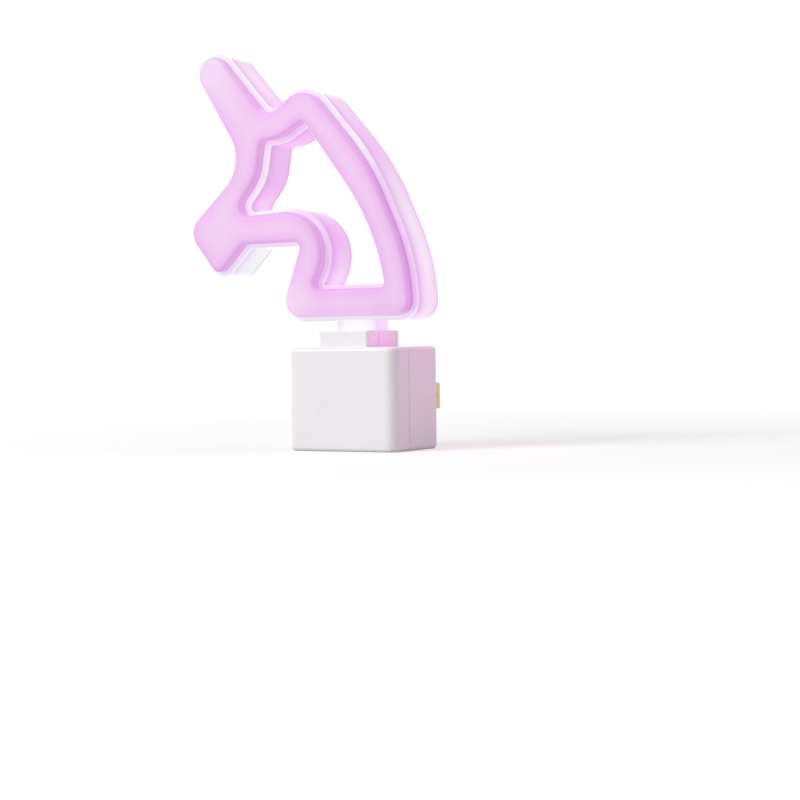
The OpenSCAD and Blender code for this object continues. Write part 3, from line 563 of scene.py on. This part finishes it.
    def bump(self, height, depth_mm):
        """Fine relief from a height between 0 and 1."""
        node = self.nodes.new("ShaderNodeBump")
        node.inputs["Distance"].default_value = depth_mm * MM
        self.link(height, node.inputs["Height"])
        self.link(node.outputs["Normal"], self.shader.inputs["Normal"])


def plastic(name, hex_code, rough=(0.32, 0.42), grain=2.5, depth_mm=0.004, mottle=0.015):
    """Moulded plastic with a fine spark-eroded grain."""
    mat = Material(name)
    mat.vary_colour(hex_code, scale=0.12, amount=mottle)
    mat.vary_roughness(*rough)
    mat.bump(mat.noise(grain, detail=4), depth_mm)
    return mat.data


def metal(name, hex_code, rough, stretch):
    """Rolled or stamped metal with fine draw lines along one axis."""
    mat = Material(name, Metallic=1.0)
    mat.vary_colour(hex_code, scale=0.3, amount=0.04)
    mat.vary_roughness(*rough, scale=0.8)
    mat.bump(mat.noise(3, stretch=stretch), depth_mm=0.0015)
    return mat.data


# Share of a lit piece's colour that it sends out itself. The rest is reflected studio light.
GLOW = 0.55
REFLECTED = (0.45, 0.45, 0.45, 1)
# Height of the jaw: the foot's white light reaches the undersides up to here
JAW_Z = HEAD_BASE_Z + 21 * MM
# Distance from an edge over which the faces' colour and painted edge shade change, in millimetres
EDGE_BAND = 5
# Places on the head that are paler or brighter, as (x, 0, z) in millimetres
THROAT = (-17, 0, 21)
HORN_TIP = (-38, 0, 79)
NECK_CORNER = (-9, 0, 28)
CHEEK_CORNER = (-30, 0, 45)
MANE_BEND = (0, 0, 58)
FOREHEAD_BEND = (-24, 0, 52)
ORIGIN = (0, 0, 0)


def lit(mat, source, extra=1.0):
    """A glowing material of about the colour that source gives."""
    mat.link(source, mat.shader.inputs["Emission Color"])
    mat.shader.inputs["Emission Strength"].default_value = GLOW * extra
    mat.colour(mat.mix(1.0, source, REFLECTED, "MULTIPLY"))
    return mat.data


def face_pink():
    """The front diffuser: pale on the limbs' middle, with painted shade that deepens the pink round
    the face's rounded edge and on the side.
    """
    mat = Material("front_diffuser_pink", Specular_IOR_Level=0.2)
    # Painted shade: the face, and its pale corners too, turn deeper pink towards the rounded edge
    face = mat.ramp(mat.span(mat.edge_mm(), 0, EDGE_BAND), [
        (0.0, "#F0AFF3"), (0.2, "#F3C2F5"), (0.5, "#F5CCF6"), (1.0, "#F7D3F7")])
    back = mat.span(mat.axis("Y"), FACE_Y, PLATE_FRONT_Y)
    soft_side_shade = mat.ramp(back, [
        (0.0, "#F4CAF5"), (0.4, "#F3BDF4"), (1.0, "#EDADF0")])
    deep_side_shade = mat.ramp(back, [
        (0.0, "#F1C4F3"), (0.3, "#EDB2F0"), (0.65, "#E59FEB"), (1.0, "#DA8BE3")])
    # Painted shade: the sides darken towards the plate, and more towards the mane
    to_mane = mat.span(mat.axis("X"), -6 * MM, 10 * MM)
    side = mat.mix(to_mane, soft_side_shade, deep_side_shade)
    at_side = mat.span(mat.axis("Y"), FACE_Y + 0.2 * MM, FACE_Y + 0.9 * MM)
    pale = mat.ramp(mat.edge_mm(), [(0.0, "#F2CAF4"), (1.0, "#F9DAF9")])
    corners = mat.join("MAXIMUM", mat.near(THROAT, 2, 10), mat.near(HORN_TIP, 2, 14))
    whole = mat.mix(at_side, mat.mix(corners, face, pale), side)
    # The foot's light makes the lower edge paler
    low_pale = mat.ramp(back, [(0.0, "#F5DAF8"), (1.0, "#F2CCF5")])
    at_low = mat.span(mat.axis("Z"), HEAD_BASE_Z + 1.4 * MM, HEAD_BASE_Z + 0.2 * MM)
    mat.bump(mat.noise(1.6), depth_mm=0.003)
    mat.vary_roughness(0.34, 0.44)
    return lit(mat, mat.clouded(mat.mix(at_low, whole, low_pale), 0.09, (0.96, 0.96, 0.97)))


def rear_pink():
    """The rear diffuser: a lighter middle band along its depth, and painted shade that deepens it
    beside the plate and at the rounded back edge.
    """
    mat = Material("rear_diffuser_pink", Specular_IOR_Level=0.15)
    depth = mat.span(mat.axis("Y"), PLATE_BACK_Y, HEAD_BACK_Y)
    # Painted shade: darker next to the plate and at the rounded back edge
    pink = mat.ramp(depth, [
        (0.0, "#D88ADA"), (0.05, "#EDB4EE"), (0.3, "#F4C6F4"), (0.8, "#F4C8F4"), (0.92, "#DFA0E0"),
        (1.0, "#E8B4EA")])
    pale = mat.ramp(depth, [
        (0.0, "#DDA0E2"), (0.05, "#ECC6F4"), (0.25, "#F8E6FD"), (0.5, "#FCF4FF"), (0.8, "#F9E2FC"),
        (0.92, "#DEACE6"), (1.0, "#EBC0EF")])
    # Painted light: the mane's outside, the horn and two inner corners are paler than the rest, whose
    # sides take a pinker painted glow from the other limbs
    mane = mat.span(mat.axis("X"), 3 * MM, 13 * MM)
    horn = mat.span(mat.axis("Z"), 64 * MM, 76 * MM, 0, 0.55)
    corners = mat.join("MAXIMUM", mat.near(NECK_CORNER, 1, 10), mat.near(CHEEK_CORNER, 1, 7))
    less_pink_bounce = mat.join("MAXIMUM", mane, horn, mat.span(corners, 0, 1, 0, 0.6))
    side = mat.clouded(mat.mix(less_pink_bounce, pink, pale), 0.07, (0.98, 0.93, 0.98))
    # The jaw's underside catches the foot's white light
    cool = mat.ramp(depth, [
        (0.0, "#DDB0E4"), (0.06, "#F0E0F8"), (0.25, "#F4F4FC"), (0.45, "#F6FCFF"), (0.8, "#F6FCFF"),
        (0.92, "#D6C0E2"), (1.0, "#E6C8EE")])
    left_of_neck = mat.span(mat.axis("X"), -8 * MM, -12 * MM)
    jaw = mat.join("MULTIPLY", mat.underside(JAW_Z), left_of_neck)
    # The flat back is palest in the limbs' middle, with painted shade darkening it round the rounded
    # rim
    back = mat.ramp(mat.span(mat.edge_mm(), 0, EDGE_BAND), [
        (0.0, "#E8B2EA"), (0.25, "#F1C4F2"), (1.0, "#FBE0FB")])
    at_back = mat.span(mat.axis("Y"), HEAD_BACK_Y - 0.5 * MM, HEAD_BACK_Y - 0.1 * MM)
    mat.bump(mat.noise(1.6), depth_mm=0.003)
    mat.vary_roughness(0.36, 0.46)
    return lit(mat, mat.mix(at_back, mat.mix(jaw, side, cool), back), extra=1.15)


def guide_glow():
    """The clear plate's edge, where the light leaves it: white, pink and lavender, with painted shade
    darkening it towards the rear diffuser.
    """
    mat = Material("light_guide_clear", IOR=1.49)
    depth = mat.span(mat.axis("Y"), PLATE_FRONT_Y, PLATE_BACK_Y)
    # Painted shade: each ramp here darkens at the back, where the plate meets the rear diffuser
    side = mat.ramp(depth, [
        (0.0, "#F4EBFC"), (0.2, "#F3F3FF"), (0.7, "#F2F5FF"), (0.9, "#E8CEF0"), (1.0, "#D194DA")])
    # Round the horn and the ear the plate's face is tinted, and so stands out from white
    on_face = mat.span(depth, 0.1, 0.02)
    high_up = mat.span(mat.axis("Z"), 66 * MM, 69 * MM)
    bright = mat.mix(mat.join("MULTIPLY", on_face, high_up), side, srgb("#EDDAF8"))
    pink = mat.ramp(depth, [
        (0.0, "#F3D2F8"), (0.3, "#F5DBFA"), (0.6, "#F2D4F8"), (0.85, "#E3B2EA"), (1.0, "#CF8AD8")])
    base = mat.ramp(depth, [
        (0.0, "#F6EEFC"), (0.4, "#FBFAFF"), (0.8, "#F6F0FD"), (1.0, "#DDB8E8")])
    # The light leaves the plate most strongly at the horn, the mane's bend and the jaw
    horn = mat.span(mat.axis("Z"), 63 * MM, 68 * MM)
    below_jaw = mat.span(mat.axis("Z"), JAW_Z - 2 * MM, JAW_Z - 3 * MM)
    left_of_neck = mat.span(mat.axis("X"), -11 * MM, -13 * MM)
    jaw = mat.join("MULTIPLY", below_jaw, left_of_neck)
    strong = mat.join("MAXIMUM", horn, mat.near(MANE_BEND, 3, 9), mat.underside(JAW_Z), jaw)
    # At the forehead's bend only the front part of the window's edge is white, painted brighter than
    # its shadowed place, and the part behind it darkens as painted shade
    bend = mat.ramp(depth, [
        (0.0, "#FFF4FF"), (0.45, "#FFFFFF"), (0.65, "#F2DDF4"), (0.85, "#E8C2EC"),
        (1.0, "#D194DA")])
    sides = mat.mix(mat.near(FOREHEAD_BEND, 6, 13), mat.mix(strong, pink, bright), bend)
    near_foot = mat.span(mat.axis("Z"), HEAD_BASE_Z + 2 * MM, HEAD_BASE_Z - 0.3 * MM)
    edge = mat.mix(near_foot, sides, base)
    # The foot is white in its middle and lavender towards its sides
    foot_glow = mat.ramp(mat.near(ORIGIN, 2, 5.4, (1, 0, 0)), [
        (0.0, "#EBDFF7"), (0.25, "#F4EEFC"), (1.0, "#FDFCFF")])
    below = mat.span(mat.axis("Z"), HEAD_BASE_Z - FRONT_LIP + 0.3 * MM, HEAD_BASE_Z - FRONT_LIP)
    mat.bump(mat.noise(0.8, detail=2), depth_mm=0.002)
    mat.vary_roughness(0.3, 0.4)
    return lit(mat, mat.mix(below, edge, foot_glow), extra=1.1)


def led_face():
    """Lit LEDs with their warm phosphor."""
    mat = Material("led_face", Roughness=0.4)
    glow = mat.ramp(mat.noise(0.6), [(NOISE_LOW, "#FFF3C4"), (NOISE_HIGH, "#FFFBE6")])
    mat.bump(mat.noise(4), depth_mm=0.003)
    return lit(mat, glow)


WEAVE_PER_MM = 1.2


def board(name, hex_code):
    """Laminate with a faint weave under its solder mask."""
    mat = Material(name)
    mat.vary_colour(hex_code, scale=0.5, amount=0.07)
    mat.vary_roughness(0.28, 0.4)
    weave = mat.nodes.new("ShaderNodeTexWave")
    weave.inputs["Scale"].default_value = WEAVE_PER_MM / MM
    mat.link(mat.place, weave.inputs["Vector"])
    mat.bump(weave.outputs["Fac"], depth_mm=0.004)
    return mat.data


# Scales that stretch a noise into lines along one axis
ALONG_X = (0.08, 1, 1)
ALONG_Y = (1, 0.08, 1)
ALONG_Z = (1, 1, 0.08)


def finish_nodes():
    """Gives the CAD nodes in its table their materials."""
    abs_white = plastic("housing_abs", "#F6F3F6")
    nylon = plastic("inner_nylon", "#E9E7E0", (0.5, 0.6), grain=2)
    epoxy = plastic("package_epoxy", "#26262A", (0.42, 0.55), grain=4, depth_mm=0.006, mottle=0.1)
    film = plastic("film_yellow", "#C9A037", (0.3, 0.4), grain=1.5, depth_mm=0.006, mottle=0.06)
    sleeve = plastic("can_sleeve", "#202124", (0.25, 0.35), grain=3, depth_mm=0.003, mottle=0.1)
    ceramic = plastic("fuse_ceramic", "#7FA68C", (0.4, 0.5), grain=2, depth_mm=0.005, mottle=0.06)
    pvc = plastic("wire_pvc", "#C92F27", (0.35, 0.45), grain=3, depth_mm=0.003, mottle=0.05)
    acetal = plastic("slider_pom", "#2B2B2E", (0.45, 0.55), grain=3, mottle=0.08)
    brass = metal("blade_brass", "#CDB684", (0.26, 0.34), ALONG_Y)
    spring_brass = metal("contact_brass", "#D2B880", (0.18, 0.3), ALONG_Z)
    steel = metal("screw_steel", "#B9B9BD", (0.25, 0.4), ALONG_X)
    tinplate = metal("frame_steel", "#C2C4C8", (0.22, 0.36), ALONG_Z)
    table = {
        "front_shell": abs_white, "rear_shell": abs_white, "switch_knob": abs_white,
        "blade_left": brass, "blade_right": brass, "blade_retainer": nylon,
        "retainer_screws": steel, "foot_clip": steel,
        "driver_board": board("driver_board_mask", "#2C6B46"),
        "led_board": board("led_board_mask", "#EFEFE8"), "leds": led_face(),
        "film_capacitor": film, "smoothing_capacitor": sleeve, "fuse_resistor": ceramic,
        "bridge_rectifier": epoxy, "chip_resistors": epoxy, "led_wires": pvc,
        "switch_frame": tinplate, "switch_terminals": spring_brass,
        "switch_contact": spring_brass, "switch_slider": acetal,
    }
    for node, material in table.items():
        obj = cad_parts[node]
        obj.data.materials.clear()
        obj.data.materials.append(material)


# ---- Head -----------------------------------------------------------------------------

def dress_head():
    """Makes the three pieces of the head, each in the place of its CAD node."""
    for make, node, slot, material in (
            (front_diffuser, "front_diffuser", "diffuser_front_pink", face_pink()),
            (rear_diffuser, "rear_diffuser", "diffuser_rear_pink", rear_pink()),
            (light_guide, "light_guide", "guide_clear", guide_glow())):
        piece = make()
        shade(piece)
        piece.data.materials.append(material)
        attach(piece, "light")
        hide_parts(node)


# ---- Stage, lamps and camera ----------------------------------------------------------

CAMERA_TARGET = Vector((9.86, -10.0, -0.39)) * MM
CAMERA_DISTANCE = 454.56 * MM
CAMERA_YAW = math.radians(29.16)
CAMERA_PITCH = math.radians(-1.58)
CAMERA_ROLL = math.radians(-0.69)
# The picture's width and the camera's focal length, both in pixels
IMAGE_PX = 800
FOCAL_PX = 1945.33
SENSOR_MM = 36
CLIP_START = 0.01

FLOOR_SIZE = 12.0
FLOOR_COLOUR = "#D2D2D2"
WORLD_LIGHT = 0.36
# Light that the floor adds for the eye: its strength near the object and far from it, and the
# two distances in millimetres
LIFT_NEAR = 0.4
LIFT_FAR = 0.84
LIFT_NEAR_MM = 100
LIFT_FAR_MM = 900
# Lamps wider than this are studio lamps. The others stand in for the head's glow, and show in no
# reflection.
STUDIO_LAMP_SIZE = 0.3
DAYLIGHT = (1, 1, 1)
HEAD_PINK = srgb("#FF40D4")[:3]
OBJECT_MIDDLE = (-0.01, -0.01, 0.03)
# Each lamp's name, place, target, diameter, power in watts and colour
LAMPS = [
    ("key", (-0.55, -0.9, 0.65), OBJECT_MIDDLE, 0.7, 8.8, DAYLIGHT),
    ("top", (0.1, 0.1, 1.0), OBJECT_MIDDLE, 0.8, 2.8, DAYLIGHT),
    ("glow_right", (0.042, -0.002, 0.020), (0.0145, -0.007, 0.006), 0.02, 0.0024, HEAD_PINK),
    ("glow_collar", (0.014, -0.014, 0.0155), (0.0066, -0.014, 0.014), 0.005, 0.00013, HEAD_PINK),
]


def add_camera():
    """The main view's camera, from its target, distance and three angles."""
    ahead = Vector((-math.sin(CAMERA_YAW) * math.cos(CAMERA_PITCH),
                    math.cos(CAMERA_YAW) * math.cos(CAMERA_PITCH), math.sin(CAMERA_PITCH)))
    level = Vector((math.cos(CAMERA_YAW), math.sin(CAMERA_YAW), 0))
    upright = level.cross(ahead)
    right = level * math.cos(CAMERA_ROLL) + upright * math.sin(CAMERA_ROLL)
    up = upright * math.cos(CAMERA_ROLL) - level * math.sin(CAMERA_ROLL)
    data = bpy.data.cameras.new("camera")
    data.sensor_width = SENSOR_MM
    data.lens = FOCAL_PX * SENSOR_MM / IMAGE_PX
    data.clip_start = CLIP_START
    camera = bpy.data.objects.new("camera", data)
    camera.matrix_world = Matrix((
        (right.x, up.x, -ahead.x, 0), (right.y, up.y, -ahead.y, 0),
        (right.z, up.z, -ahead.z, 0), (0, 0, 0, 1)))
    camera.location = CAMERA_TARGET - ahead * CAMERA_DISTANCE
    bpy.context.scene.collection.objects.link(camera)
    bpy.context.scene.camera = camera


def add_lamp(name, at, target, size, power, colour):
    """A round lamp that the camera doesn't see."""
    data = bpy.data.lights.new(name, "AREA")
    data.shape = "DISK"
    data.size = size
    data.energy = power
    data.color = colour
    lamp = bpy.data.objects.new(name, data)
    lamp.location = at
    lamp.rotation_euler = (Vector(target) - Vector(at)).to_track_quat("-Z", "Y").to_euler()
    lamp.visible_camera = False
    lamp.visible_glossy = size > STUDIO_LAMP_SIZE
    bpy.context.scene.collection.objects.link(lamp)


def seen_share(nodes, links):
    """1 for camera, glossy and transmission rays, which see the white background."""
    path = nodes.new("ShaderNodeLightPath")
    share = path.outputs["Is Camera Ray"]
    for ray in ("Is Glossy Ray", "Is Transmission Ray"):
        either = nodes.new("ShaderNodeMath")
        either.operation = "MAXIMUM"
        links.new(share, either.inputs[0])
        links.new(path.outputs[ray], either.inputs[1])
        share = either.outputs[0]
    return share


def add_world():
    """White for the rays that see it, and dimmer as the object's fill light."""
    world = bpy.data.worlds.new("studio")
    world.use_nodes = True
    nodes, links = world.node_tree.nodes, world.node_tree.links
    sky = nodes["Background"]
    strength = nodes.new("ShaderNodeMapRange")
    strength.inputs["To Min"].default_value = WORLD_LIGHT
    strength.inputs["To Max"].default_value = 1.0
    links.new(seen_share(nodes, links), strength.inputs["Value"])
    links.new(strength.outputs["Result"], sky.inputs["Strength"])
    sky.inputs["Color"].default_value = WHITE
    bpy.context.scene.world = world


def add_floor():
    """Pale floor under the object, which keeps its shadow."""
    level = CAD_BOX[0][2]
    half = FLOOR_SIZE / 2
    verts = [(-half, -half, level), (half, -half, level), (half, half, level), (-half, half, level)]
    floor = make_object("floor", verts, [(0, 1, 2, 3)])
    mat = Material("floor_paper", Roughness=0.9, Specular_IOR_Level=0.0)
    mat.vary_colour(FLOOR_COLOUR, scale=0.002, amount=0.01)
    # The lamps' light fades away from the object, and this lift makes up for it in the picture
    near = mat.near(ORIGIN, LIFT_NEAR_MM, LIFT_FAR_MM, (1, 1, 0))
    lift = mat.span(near, 0, 1, LIFT_FAR, LIFT_NEAR)
    glow = mat.join("MULTIPLY", lift, seen_share(mat.nodes, mat.links))
    mat.shader.inputs["Emission Color"].default_value = WHITE
    mat.link(glow, mat.shader.inputs["Emission Strength"])
    floor.data.materials.append(mat.data)


add_camera()
finish_nodes()
dress_head()
add_world()
add_floor()
for lamp in LAMPS:
    add_lamp(*lamp)
bpy.context.scene.view_settings.view_transform = "Standard"
